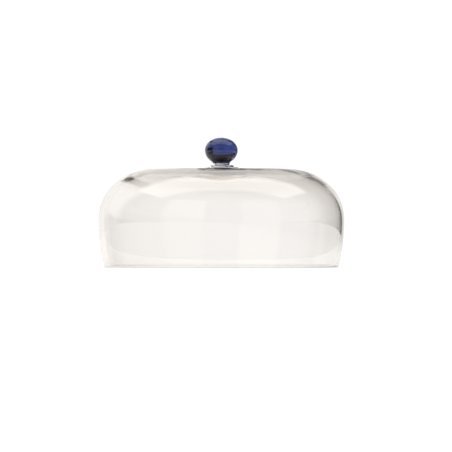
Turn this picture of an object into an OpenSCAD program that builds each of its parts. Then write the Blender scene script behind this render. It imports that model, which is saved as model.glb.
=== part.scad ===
// A clear blown-glass bell cover. Its knob is a cobalt-blue glass ball on a clear neck, foot and pad.
// The origin is on the axis at the rim's plane, and +Z points up through the knob.

/* [Bell] */
// Widest diameter of the bell
bell_w = 250; // [200:5:300]
// Height of the widest part above the rim
widest_z = 50; // [30:1:70]
// Thickness of the bell's wall
wall = 4.5; // [3:0.5:6]
// Radius of the side's upright curve below the widest part
side_r = 205; // [160:5:400]
// Radius of the shoulder's lower curve
shoulder_low_r = 45; // [35:1:50]
// Radius of the shoulder's upper curve
shoulder_top_r = 59; // [52:1:64]
// Angle from upright at which one shoulder curve turns into the other
shoulder_turn = 50; // [40:1:60]
// Slope of the crown where it meets the shoulder, in degrees
crown_slope = 1; // [0.8:0.1:3]
// Width of the polished bevel on each edge of the rim
rim_bevel = 0.8; // [0.4:0.1:1]

/* [Crown] */
// Radius of the thick spot inside the crown, under the knob
boss_r = 26; // [20:1:28]
// Depth of the thick spot below the crown's inner surface
boss_depth = 4; // [1:0.5:6]
// Diameter of the clear pad that joins the knob to the crown
pad_w = 35; // [31:0.5:36]
// Thickness of the clear pad
pad_h = 1; // [0.8:0.1:3]

/* [Knob] */
// Diameter of the knob's foot
foot_w = 25.6; // [25:0.2:30]
// Thickness of the knob's foot
foot_h = 1.9; // [0.8:0.1:3]
// Diameter of the neck at its waist
neck_w = 16.6; // [15:0.2:19]
// Height of the neck
neck_h = 1.7; // [1.2:0.1:5]
// Widest diameter of the ball
ball_w = 33.4; // [28:0.2:40]
// Height of the ball above its widest part
ball_top_h = 12.9; // [11:0.1:16]
// Height that the ball would have below its widest part if it ran to a full round
ball_low_h = 14.3; // [12:0.1:17]
// Height of the ball's straight collar above the neck
collar_h = 1.2; // [0.4:0.1:3]

/* [Hidden] */
$fn = 144;
arc_steps = 14;
shallow_steps = 8;
ball_steps = 24;
seat_margin = 0.5;
neck_flare = 0.4;

bell_r = bell_w / 2;
seat_r = pad_w / 2 + seat_margin;
ball_seat_r = neck_w / 2 + neck_flare;
ball_r = ball_w / 2;

// The bell's outline is four curves, each tangent to the next, from the widest part up and down
side_centre = [bell_r - side_r, widest_z];
low_centre = [bell_r - shoulder_low_r, widest_z];
top_centre = low_centre + turned(shoulder_low_r - shoulder_top_r, shoulder_turn);
crown_r = shoulder_top_r + top_centre[0] / sin(crown_slope);
crown_centre = [0, top_centre[1] - (crown_r - shoulder_top_r) * cos(crown_slope)];

crown_z = crown_centre[1] + sqrt(pow(crown_r, 2) - pow(seat_r, 2));
pad_z = crown_z + pad_h;
foot_z = pad_z + foot_h;
neck_z = foot_z + neck_h;

// The ball's round ends where it is as wide as its collar and the top of its neck
ball_cut = ball_low_h * sqrt(1 - pow(ball_seat_r / ball_r, 2));
ball_z = neck_z + collar_h + ball_cut;

// A point at a distance and an angle from upright
function turned(r, a) = r * [sin(a), cos(a)];

function arc(centre, r, from, to, steps) =
    [for (i = [0:steps]) centre + turned(r, from + (to - from) * i / steps)];

// All but the first point, which repeats the last one of the curve before
function rest(points) = [for (i = [1:len(points) - 1]) points[i]];

function backwards(points) = [for (i = [len(points) - 1:-1:0]) points[i]];

// One face of the bell from the crown down to the rim, moved inwards by a distance
function bell_face(inset, start_r) =
    let (
        crown = crown_r - inset,
        side = side_r - inset,
        rim_angle = 90 + asin((widest_z - rim_bevel) / side)
    )
    concat(
        arc(crown_centre, crown, asin(start_r / crown), crown_slope, shallow_steps),
        rest(arc(top_centre, shoulder_top_r - inset, crown_slope, shoulder_turn, arc_steps)),
        rest(arc(low_centre, shoulder_low_r - inset, shoulder_turn, 90, arc_steps)),
        rest(arc(side_centre, side, 90, rim_angle, arc_steps))
    );

// The thick spot's underside, from its edge to the axis
function boss_face(edge) =
    let (
        r = (pow(edge[0], 2) + pow(boss_depth, 2)) / (2 * boss_depth),
        centre = [0, edge[1] - boss_depth + r]
    )
    rest(arc(centre, r, 180 - asin(edge[0] / r), 180, shallow_steps));

// A disc's half outline, on the axis, with a fully rounded edge
function disc_outline(r, z, h) =
    concat([[0, z]], arc([r - h / 2, z + h / 2], h / 2, 180, 0, arc_steps), [[0, z + h]]);

// Part of an ellipse as wide as the ball, with its own half height
function ball_curve(half_h, from, to) =
    [
        for (i = [0:ball_steps])
            let (a = from + (to - from) * i / ball_steps)
            [ball_r * sin(a), ball_z + half_h * cos(a)]
    ];

module revolved(points) {
    rotate_extrude() polygon(points);
}

// The blown bell, with its flat seat for the pad and its flat rim
module bell() {
    outside = bell_face(0, seat_r);
    inside = bell_face(wall, boss_r);
    rim_out = outside[len(outside) - 1][0] - rim_bevel;
    rim_in = inside[len(inside) - 1][0] + rim_bevel;
    color([0.92, 0.92, 0.91, 0.35])
        revolved(concat(
            [[0, crown_z]],
            outside,
            [[rim_out, 0], [rim_in, 0]],
            backwards(inside),
            boss_face(inside[0])
        ));
}

// The clear gather of glass between the crown and the knob's foot
module crown_pad() {
    color([0.92, 0.92, 0.91, 0.35])
        revolved(disc_outline(pad_w / 2, crown_z, pad_h));
}

module knob_foot() {
    color([0.92, 0.92, 0.91, 0.35])
        revolved(disc_outline(foot_w / 2, pad_z, foot_h));
}

// The waisted neck: its side is one hollow curve between the foot and the ball
module knob_neck() {
    hollow_r = (pow(neck_h / 2, 2) + pow(neck_flare, 2)) / (2 * neck_flare);
    half_turn = asin(neck_h / 2 / hollow_r);
    centre = [neck_w / 2 + hollow_r, foot_z + neck_h / 2];
    color([0.92, 0.92, 0.91, 0.35])
        revolved(concat(
            [[0, foot_z]],
            arc(centre, hollow_r, 270 - half_turn, 270 + half_turn, shallow_steps),
            [[0, neck_z]]
        ));
}

// The ball's half outline is a flatter ellipse above a taller one, and a collar that stands on the neck
module knob_ball() {
    cut_angle = acos(-ball_cut / ball_low_h);
    color([0.11, 0.15, 0.42])
        revolved(concat(
            ball_curve(ball_top_h, 0, 90),
            rest(ball_curve(ball_low_h, 90, cut_angle)),
            [[ball_seat_r, neck_z], [0, neck_z]]
        ));
}

bell();
crown_pad();
knob_foot();
knob_neck();
knob_ball();
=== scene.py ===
"""The looks of a clear glass bell cover with a cobalt-blue glass knob.

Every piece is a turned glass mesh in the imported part's frame, in metres, +Z up. The sizes that the
frame doesn't give follow the part's own dimensions, unless a comment says otherwise.
"""

import math

import bpy
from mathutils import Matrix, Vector, noise


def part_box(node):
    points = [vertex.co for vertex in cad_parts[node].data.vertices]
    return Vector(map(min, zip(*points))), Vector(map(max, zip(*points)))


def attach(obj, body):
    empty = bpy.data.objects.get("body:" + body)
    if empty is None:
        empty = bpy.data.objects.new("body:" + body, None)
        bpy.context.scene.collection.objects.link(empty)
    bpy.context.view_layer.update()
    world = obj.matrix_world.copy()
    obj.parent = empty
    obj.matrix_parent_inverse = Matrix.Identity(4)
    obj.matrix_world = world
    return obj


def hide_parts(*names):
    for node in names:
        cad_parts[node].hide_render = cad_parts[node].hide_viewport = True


MM = 0.001
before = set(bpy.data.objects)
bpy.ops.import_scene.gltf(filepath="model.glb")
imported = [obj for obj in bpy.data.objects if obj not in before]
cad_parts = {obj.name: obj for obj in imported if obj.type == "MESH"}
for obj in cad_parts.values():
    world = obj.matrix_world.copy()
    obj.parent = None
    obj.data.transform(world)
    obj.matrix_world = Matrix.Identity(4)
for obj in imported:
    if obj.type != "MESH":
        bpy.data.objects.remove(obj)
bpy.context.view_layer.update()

# ---------------------------------------------------------------- sizes, in millimetres

BELL_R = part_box("bell")[1][0] / MM
CROWN_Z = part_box("crown_pad")[0][2] / MM
PAD_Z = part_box("knob_foot")[0][2] / MM
FOOT_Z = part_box("knob_neck")[0][2] / MM
NECK_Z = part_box("knob_ball")[0][2] / MM
TOP_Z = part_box("knob_ball")[1][2] / MM
PAD_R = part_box("crown_pad")[1][0] / MM
FOOT_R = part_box("knob_foot")[1][0] / MM
BALL_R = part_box("knob_ball")[1][0] / MM

WIDEST_Z = 50
WALL = 4.5
SIDE_R = 205
SHOULDER_LOW_R = 45
SHOULDER_TOP_R = 59
SHOULDER_TURN = math.radians(50)
CROWN_SLOPE = math.radians(1)
RIM_ROUND = 0.8  # radius of the rim's rounds, which stand for flat bevels of that width
BOSS_R = 34  # wider than the part's own thick spot, because its edge fades out
BOSS_DEPTH = 4
WAIST_R = 8.3
COLLAR_R = 8.7
COLLAR_H = 1.2
BALL_TOP_H = 12.9
BALL_LOW_H = 14.3

FACE_STEP = 2  # length of a step down the bell's faces
TURNS = 224  # steps round a turned piece
RIM_STEPS = 6  # steps in each of the rim's two rounds
DISC_STEPS = 16  # steps round a disc's edge
NECK_STEPS = 12  # steps up the neck's hollow side
BALL_STEPS = 40  # steps in each of the ball's two curves
COLLAR_STEPS = 3  # steps down the ball's collar
BELL_EASING = 24  # passes that ease one curve of the bell into the next
BALL_EASING = 3  # passes that ease the ball into its collar
CREASE = math.radians(40)  # an edge with a larger bend is drawn sharp
SKIN = 0.03  # how far a joined piece sits in its neighbour, where the real glass is fused

# the bell's inner face is a little uneven, as in hand-blown glass, while its outer face is true
OFF_CENTRE = 0.8  # how far the inner face sits towards +X, so that the wall is thicker at -X
RIPPLE_LENGTH = 15
RIPPLE_DEPTH = 0.1
RIPPLE_LOW_Z = 75  # the ripples begin at this height
RIPPLE_RISE = 18  # and reach their full depth this much higher

# ---------------------------------------------------------------- outlines, as (radius, height) in mm


def turned(r, angle):
    """The point at that distance and angle from upright."""
    return Vector((r * math.sin(angle), r * math.cos(angle)))


def arc(centre, r, start, end, steps):
    return [centre + turned(r, start + (end - start) * i / steps) for i in range(steps + 1)]


def long_arc(centre, r, start, end):
    """An arc in steps of about FACE_STEP."""
    return arc(centre, r, start, end, math.ceil(r * abs(end - start) / FACE_STEP))


SIDE_CENTRE = Vector((BELL_R - SIDE_R, WIDEST_Z))
LOW_CENTRE = Vector((BELL_R - SHOULDER_LOW_R, WIDEST_Z))
TOP_CENTRE = LOW_CENTRE + turned(SHOULDER_LOW_R - SHOULDER_TOP_R, SHOULDER_TURN)
CROWN_ARC_R = SHOULDER_TOP_R + TOP_CENTRE.x / math.sin(CROWN_SLOPE)
CROWN_CENTRE = Vector((0, TOP_CENTRE.y - (CROWN_ARC_R - SHOULDER_TOP_R) * math.cos(CROWN_SLOPE)))


def eased(points, passes):
    """The points with each corner rounded off a little more by every pass. The ends stay."""
    for _ in range(passes):
        between = [(a + 2 * b + c) / 4 for a, b, c in zip(points, points[1:], points[2:])]
        points = points[:1] + between + points[-1:]
    return points


def bell_face(inset):
    """One face of the bell, from the axis down to the rim's round, moved in by inset."""
    side = SIDE_R - inset
    rim_angle = math.pi / 2 + math.asin((WIDEST_Z - RIM_ROUND) / side)
    points = (
        long_arc(CROWN_CENTRE, CROWN_ARC_R - inset, 0, CROWN_SLOPE)
        + long_arc(TOP_CENTRE, SHOULDER_TOP_R - inset, CROWN_SLOPE, SHOULDER_TURN)[1:]
        + long_arc(LOW_CENTRE, SHOULDER_LOW_R - inset, SHOULDER_TURN, math.pi / 2)[1:]
        + long_arc(SIDE_CENTRE, side, math.pi / 2, rim_angle)[1:]
    )
    points = eased(points, BELL_EASING)
    # easing draws the widest part in a little, so it is let out again
    stretch = (BELL_R - inset) / max(p.x for p in points)
    return [Vector((p.x * stretch, p.y)) for p in points]


def thick_spot(point):
    """The inner face hangs lower under the knob, as a smooth swell."""
    reach = min(point.x / BOSS_R, 1)
    return Vector((point.x, point.y - BOSS_DEPTH * (1 + math.cos(math.pi * reach)) / 2))


def bell_outlines():
    """The outer face with the rim's outer round, and the rim's inner round with the inner face."""
    outside = bell_face(0)
    inside = [thick_spot(p) for p in reversed(bell_face(WALL))]
    outer_centre = Vector((outside[-1].x - RIM_ROUND, RIM_ROUND))
    inner_centre = Vector((inside[0].x + RIM_ROUND, RIM_ROUND))
    outer_round = arc(outer_centre, RIM_ROUND, math.pi / 2, math.pi, RIM_STEPS)
    inner_round = arc(inner_centre, RIM_ROUND, math.pi, 1.5 * math.pi, RIM_STEPS)
    return outside + outer_round[1:], inner_round[:-1] + inside


def disc_outline(r, low, high):
    """A disc with a fully rounded edge."""
    half = (high - low) / 2
    edge = arc(Vector((r - half, low + half)), half, math.pi, 0, DISC_STEPS)
    return [Vector((0, low))] + edge + [Vector((0, high))]


def neck_outline():
    """A waisted neck whose side is one hollow curve. It reaches a little into the foot and the ball."""
    flare = COLLAR_R - WAIST_R
    half = (NECK_Z - FOOT_Z) / 2
    hollow_r = (half**2 + flare**2) / (2 * flare)
    sweep = math.asin(half / hollow_r)
    centre = Vector((WAIST_R + hollow_r, FOOT_Z + half))
    side = arc(centre, hollow_r, 1.5 * math.pi - sweep, 1.5 * math.pi + sweep, NECK_STEPS)
    low, high = FOOT_Z - SKIN, NECK_Z + SKIN
    foot_end = [Vector((0, low)), Vector((COLLAR_R, low))]
    ball_end = [Vector((COLLAR_R, high)), Vector((0, high))]
    return foot_end + side + ball_end


def ball_curve(widest_z, half_h, start, end):
    """Part of an ellipse as wide as the ball, with its own half height."""
    angles = [start + (end - start) * i / BALL_STEPS for i in range(BALL_STEPS + 1)]
    return [Vector((BALL_R * math.sin(a), widest_z + half_h * math.cos(a))) for a in angles]


def ball_outline():
    """A flatter ellipse above a taller one, which runs into a collar on the neck."""
    widest_z = TOP_Z - BALL_TOP_H
    low_end = math.acos((NECK_Z + COLLAR_H - widest_z) / BALL_LOW_H)
    upper = ball_curve(widest_z, BALL_TOP_H, 0, math.pi / 2)
    lower = ball_curve(widest_z, BALL_LOW_H, math.pi / 2, low_end)
    heights = [NECK_Z + COLLAR_H * i / COLLAR_STEPS for i in reversed(range(COLLAR_STEPS))]
    collar = [Vector((COLLAR_R, height)) for height in heights]
    return upper + eased(lower[1:] + collar, BALL_EASING) + [Vector((0, NECK_Z))]


# ---------------------------------------------------------------- turning an outline into a piece


def hand_blown(place):
    """How far the bell's inner face strays from a true turned one at that place, in mm."""
    on_crown = min(max((place.z - RIPPLE_LOW_Z) / RIPPLE_RISE, 0), 1)
    ripple = RIPPLE_DEPTH * noise.noise(place / RIPPLE_LENGTH)
    return Vector((OFF_CENTRE, 0, ripple * on_crown))


def ring(point, uneven):
    """The places of a point turned about Z, in metres. A point on the axis has only one."""
    places = []
    for i in range(TURNS if point.x > 0 else 1):
        a = 2 * math.pi * i / TURNS
        place = Vector((point.x * math.cos(a), point.x * math.sin(a), point.y))
        if uneven:
            place += hand_blown(place)
        places.append(place * MM)
    return places


def turned_mesh(name, material, outline, uneven_outline=()):
    """A closed mesh of an outline turned about Z. An uneven outline goes on from the true one."""
    verts, faces, rings = [], [], []
    for points, uneven in ((outline, False), (uneven_outline, True)):
        for point in points:
            places = ring(point, uneven)
            rings.append(range(len(verts), len(verts) + len(places)))
            verts += places
    for upper, lower in zip(rings, rings[1:]):
        for i in range(TURNS):
            corners = ((upper, i), (lower, i), (lower, i + 1), (upper, i + 1))
            face = [numbers[turn % len(numbers)] for numbers, turn in corners]
            faces.append(list(dict.fromkeys(face)))  # a triangle where one ring is a single point
    mesh = bpy.data.meshes.new(name)
    mesh.from_pydata(verts, [], faces)
    mesh.update()
    mesh.shade_smooth()
    mesh.set_sharp_from_angle(angle=CREASE)
    mesh.materials.append(material)
    piece = bpy.data.objects.new(name, mesh)
    bpy.context.collection.objects.link(piece)
    return piece


# ---------------------------------------------------------------- materials

WHITE = (1, 1, 1)
FLOOR_GREY = (0.5, 0.5, 0.5)
CARD_BLACK = (0.02, 0.02, 0.02)
WARM_TINT = (0.46, 0.26, 0.02)
COBALT_TINT = (0.01, 0.145, 0.54)
CLEAR_DENSITY = 15  # both per metre of glass
COBALT_DENSITY = 115
GLASS_IOR = 1.5

# the polish: a noise of soft smears, and the part of its range over which the glass gets rougher,
# and the slight waves in its surface
SMEAR_SCALE = 35
SMEAR_DETAIL = 4
SMEAR_START = 0.45
SMEAR_FULL = 0.75
SMEAR_ROUGHNESS = 0.03
WAVE_SCALE = 28
WAVE_DETAIL = 1
WAVE_HEIGHT = 0.04 * MM

# the floor's own glow, and how it dims towards the right, in metres, for all but the camera
FLOOR_GLOW = 0.75
DIM_GLOW = FLOOR_GLOW * 0.45
DIM_START = 0.08
DIM_FULL = 0.40


def add_node(tree, kind, inputs, **settings):
    """A new node. Each input is given by name or number, as a value or as the socket to link to it."""
    node = tree.nodes.new(kind)
    for name, value in settings.items():
        setattr(node, name, value)
    for name, value in inputs.items():
        if isinstance(value, bpy.types.NodeSocket):
            tree.links.new(value, node.inputs[name])
        else:
            node.inputs[name].default_value = value
    return node


def new_material(name, colour):
    """A material of that base colour, with its node tree and its shader's inputs."""
    material = bpy.data.materials.new(name)
    material.use_nodes = True
    tree = material.node_tree
    shader = tree.nodes["Principled BSDF"].inputs
    shader["Base Color"].default_value = (*colour, 1)
    return material, tree, shader


def glass(name, tint, density):
    """Solid glass: its colour comes from the depth of glass that light crosses."""
    material, tree, shader = new_material(name, WHITE)
    shader["Transmission Weight"].default_value = 1
    shader["IOR"].default_value = GLASS_IOR

    # a fire-polished surface: hardly rough, with soft smears, and very slightly wavy
    place = add_node(tree, "ShaderNodeTexCoord", {}).outputs["Object"]
    smear_inputs = {"Vector": place, "Scale": SMEAR_SCALE, "Detail": SMEAR_DETAIL}
    smears = add_node(tree, "ShaderNodeTexNoise", smear_inputs)
    polish_inputs = {
        "Value": smears.outputs[0],
        "From Min": SMEAR_START,
        "From Max": SMEAR_FULL,
        "To Min": 0,
        "To Max": SMEAR_ROUGHNESS,
    }
    polish = add_node(tree, "ShaderNodeMapRange", polish_inputs)
    tree.links.new(polish.outputs[0], shader["Roughness"])
    wave_inputs = {"Vector": place, "Scale": WAVE_SCALE, "Detail": WAVE_DETAIL}
    waves = add_node(tree, "ShaderNodeTexNoise", wave_inputs)
    bump_inputs = {"Strength": 1, "Distance": WAVE_HEIGHT, "Height": waves.outputs[0]}
    bump = add_node(tree, "ShaderNodeBump", bump_inputs)
    tree.links.new(bump.outputs[0], shader["Normal"])

    depth_inputs = {"Color": (*tint, 1), "Density": density}
    depth = add_node(tree, "ShaderNodeVolumeAbsorption", depth_inputs)
    tree.links.new(depth.outputs["Volume"], tree.nodes["Material Output"].inputs["Volume"])
    return material


def floor_material():
    """A pale floor that the glass sees dimmer towards the right, while the camera sees it plain."""
    material, tree, shader = new_material("pale_floor", FLOOR_GREY)
    shader["Roughness"].default_value = 1
    shader["Specular IOR Level"].default_value = 0
    shader["Emission Color"].default_value = (*WHITE, 1)
    place = add_node(tree, "ShaderNodeNewGeometry", {}).outputs["Position"]
    across = add_node(tree, "ShaderNodeSeparateXYZ", {0: place}).outputs[0]
    dimmer_inputs = {
        "Value": across,
        "From Min": DIM_START,
        "From Max": DIM_FULL,
        "To Min": FLOOR_GLOW,
        "To Max": DIM_GLOW,
    }
    dimmer = add_node(tree, "ShaderNodeMapRange", dimmer_inputs)
    seen = add_node(tree, "ShaderNodeLightPath", {}).outputs["Is Camera Ray"]
    glow_inputs = {"Factor": seen, "A": dimmer.outputs[0], "B": FLOOR_GLOW}
    glow = add_node(tree, "ShaderNodeMix", glow_inputs)
    tree.links.new(glow.outputs[0], shader["Emission Strength"])
    return material


def card_material():
    material, _, shader = new_material("black_card", CARD_BLACK)
    shader["Roughness"].default_value = 1
    return material


# ---------------------------------------------------------------- the object

CLEAR = glass("clear_glass", WARM_TINT, CLEAR_DENSITY)
COBALT = glass("cobalt_glass", COBALT_TINT, COBALT_DENSITY)

bell = turned_mesh("bell_glass", CLEAR, *bell_outlines())
pad = turned_mesh("crown_pad_glass", CLEAR, disc_outline(PAD_R, CROWN_Z - SKIN, PAD_Z))
foot = turned_mesh("knob_foot_glass", CLEAR, disc_outline(FOOT_R, PAD_Z - SKIN, FOOT_Z))
neck = turned_mesh("knob_neck_glass", CLEAR, neck_outline())
ball = turned_mesh("knob_ball_glass", COBALT, ball_outline())

for piece, node, slot in (
    (bell, "bell", "clear_glass"),
    (pad, "crown_pad", "clear_glass"),
    (foot, "knob_foot", "clear_glass"),
    (neck, "knob_neck", "clear_glass"),
    (ball, "knob_ball", "cobalt_glass"),
):
    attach(piece, "root")
    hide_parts(node)

# ---------------------------------------------------------------- floor and card

FLOOR_HALF = 20
FLOOR_BACK = 0.8  # the floor ends here, and the white surroundings go on below it
FLOOR_Z = -0.0004  # just clear of the rim

# the dark card that the ball shows upside down in its lower half, in millimetres
CARD_HALF_W = 26
CARD_Y = 40
CARD_LOW_Z = 123.5
CARD_TOP_Z = 142


def staged(name, corners, material):
    """A flat polygon for the stage."""
    mesh = bpy.data.meshes.new(name)
    mesh.from_pydata(corners, [], [list(range(len(corners)))])
    mesh.materials.append(material)
    item = bpy.data.objects.new(name, mesh)
    bpy.context.collection.objects.link(item)
    return item


floor_corners = (
    (-FLOOR_HALF, -FLOOR_HALF, FLOOR_Z),
    (FLOOR_HALF, -FLOOR_HALF, FLOOR_Z),
    (FLOOR_HALF, FLOOR_BACK, FLOOR_Z),
    (-FLOOR_HALF, FLOOR_BACK, FLOOR_Z),
)
staged("floor", floor_corners, floor_material())

card_ends = ((-1, CARD_LOW_Z), (1, CARD_LOW_Z), (1, CARD_TOP_Z), (-1, CARD_TOP_Z))
card_corners = [(side * CARD_HALF_W * MM, CARD_Y * MM, height * MM) for side, height in card_ends]
card = staged("card_behind_ball", card_corners, card_material())
card.visible_camera = False
card.visible_diffuse = False
card.visible_shadow = False

# ---------------------------------------------------------------- surroundings

# the brightness of each part, where 1 is the picture's white
WALL_WHITE = (1.04, 1.04, 1.04)
WALL_PALE = (0.87, 0.86, 0.85)
WALL_RIGHT = (0.66, 0.64, 0.62)
WALL_LOW = (0.90, 0.88, 0.86)
WALL_MIDDLE = (0.72, 0.70, 0.68)
WALL_HIGH = (0.42, 0.41, 0.40)
CORNER_RIGHT = (0.16, 0.16, 0.16)
CORNER_LEFT = (0.04, 0.04, 0.04)
WALL_END = (0.03, 0.03, 0.03)
ROOM = (0.17, 0.16, 0.15)
BOX_LEFT = (0.8, 0.77, 0.74)
BOX_RIGHT = (0.55, 0.53, 0.51)
PANEL_RIGHT = (0.12, 0.12, 0.12)
BOX_OVERHEAD = (1.6, 1.57, 1.52)

BAND_RISE = 0.9  # how steeply the wall's grey bands rise towards the left
SMALLEST_DIVISOR = 0.001
HORIZON_START = 0.02  # the ceiling fades in between these two heights of a direction
HORIZON_FULL = 0.05
EDGE_SOFT = math.radians(1)

# the sockets of a Mix node that mixes colours
MIX_UNDER = 6
MIX_OVER = 7
MIX_RESULT = 2


def studio():
    """Surroundings that vary by direction only: a white wall behind, a dark room and soft boxes."""
    world = bpy.data.worlds.new("studio")
    bpy.context.scene.world = world
    world.use_nodes = True
    tree = world.node_tree

    def op(kind, *values):
        return add_node(tree, "ShaderNodeMath", dict(enumerate(values)), operation=kind).outputs[0]

    def ramp(value, start, full):
        """0 at start, 1 at full, and smooth between. start may be over full."""
        inputs = {
            "Value": value,
            "From Min": min(start, full),
            "From Max": max(start, full),
            "To Min": float(start > full),
            "To Max": float(start < full),
        }
        return add_node(tree, "ShaderNodeMapRange", inputs, interpolation_type="SMOOTHSTEP").outputs[0]

    def within(value, low, high, soft):
        rise = ramp(value, low - soft, low + soft)
        fall = ramp(value, high + soft, high - soft)
        return op("MULTIPLY", rise, fall)

    def wedge(start, end, near, far):
        """A part of the wall between two angles in degrees, which fades in between two distances."""
        turn = within(angle, math.radians(start), math.radians(end), EDGE_SOFT)
        return op("MULTIPLY", turn, ramp(distance, near, far))

    def box(left, right, bottom, top):
        """A part of the sky between two azimuths and two elevations, in degrees."""
        wide = within(azimuth, math.radians(left), math.radians(right), EDGE_SOFT)
        high = within(elevation, math.radians(bottom), math.radians(top), EDGE_SOFT)
        return op("MULTIPLY", wide, high)

    def ceiling_box(left, right, front, back, soft):
        """A part of a ceiling at height 1, which fades out at the horizon."""
        flat = op("MULTIPLY", within(over_x, left, right, soft), within(over_y, front, back, soft))
        return op("MULTIPLY", ramp(z, HORIZON_START, HORIZON_FULL), flat)

    generated = add_node(tree, "ShaderNodeTexCoord", {}).outputs["Generated"]
    x, y, z = add_node(tree, "ShaderNodeSeparateXYZ", {0: generated}).outputs
    azimuth = op("ARCTAN2", x, y)  # 0 straight behind, positive to the right
    elevation = op("ARCSINE", z)
    # where the direction meets a wall at distance 1 behind, and a ceiling at height 1
    behind = op("MAXIMUM", y, SMALLEST_DIVISOR)
    across = op("DIVIDE", x, behind)
    up = op("DIVIDE", z, behind)
    above = op("MAXIMUM", z, SMALLEST_DIVISOR)
    over_x = op("DIVIDE", x, above)
    over_y = op("DIVIDE", y, above)
    # the same place on the wall by its distance and angle from the middle
    distance = op("SQRT", op("ADD", op("MULTIPLY", across, across), op("MULTIPLY", up, up)))
    angle = op("ARCTAN2", up, across)
    leftward = op("MAXIMUM", op("MULTIPLY", across, -1), 0)
    lifted = op("SUBTRACT", up, op("MULTIPLY", leftward, BAND_RISE))

    layers = (
        # the white wall fades to the right and is greyer higher up
        (ramp(across, start=0.03, full=0.08), WALL_PALE),
        (ramp(across, start=0.09, full=0.40), WALL_RIGHT),
        (ramp(lifted, start=0.03, full=0.12), WALL_LOW),
        (ramp(lifted, start=0.12, full=0.30), WALL_MIDDLE),
        (ramp(lifted, start=0.50, full=0.90), WALL_HIGH),
        # its two upper corners are dark
        (wedge(start=46, end=64.5, near=0.26, far=0.44), CORNER_RIGHT),
        (wedge(start=121.5, end=129, near=0.30, far=0.36), CORNER_LEFT),
        # it ends in the room above, far to the left and at the sides, and is dark at its right end
        (ramp(lifted, start=1.2, full=1.6), ROOM),
        (ramp(across, start=0.38, full=0.46), WALL_END),
        (ramp(across, start=-1.6, full=-3.2), ROOM),
        (ramp(y, start=0.12, full=0.02), ROOM),
        # soft boxes at the front left and front right, a dark panel at the right, a soft box overhead
        (box(left=-163, right=-121, bottom=-5, top=46), BOX_LEFT),
        (box(left=121, right=160, bottom=-5, top=46), BOX_RIGHT),
        (box(left=62, right=88, bottom=-5, top=40), PANEL_RIGHT),
        (ceiling_box(left=-1.0, right=1.05, front=-0.23, back=0.62, soft=0.03), BOX_OVERHEAD),
    )
    colour = (*WALL_WHITE, 1)
    for amount, layer in layers:
        inputs = {"Factor": amount, MIX_UNDER: colour, MIX_OVER: (*layer, 1)}
        colour = add_node(tree, "ShaderNodeMix", inputs, data_type="RGBA").outputs[MIX_RESULT]
    tree.links.new(colour, tree.nodes["Background"].inputs["Color"])


studio()

# ---------------------------------------------------------------- camera

FRAME_WIDTH = 0.4592  # what the camera sees from side to side at the bell
DISTANCE = 6.0
CAMERA_X = 0.0048
CAMERA_Z = 0.0417
SENSOR_WIDTH = 36
CLIP_END = 100
MOST_BOUNCES = 24
MOST_REFLECTIONS = 12

camera_data = bpy.data.cameras.new("camera")
camera_data.sensor_width = SENSOR_WIDTH
camera_data.lens = SENSOR_WIDTH * DISTANCE / FRAME_WIDTH
camera_data.clip_end = CLIP_END
camera = bpy.data.objects.new("camera", camera_data)
bpy.context.collection.objects.link(camera)
camera.location = (CAMERA_X, -DISTANCE, CAMERA_Z)
camera.rotation_euler = (math.pi / 2, 0, 0)  # level, along +Y
scene = bpy.context.scene
scene.camera = camera
scene.view_settings.view_transform = "Standard"
scene.cycles.max_bounces = MOST_BOUNCES
scene.cycles.transmission_bounces = MOST_BOUNCES
scene.cycles.glossy_bounces = MOST_REFLECTIONS
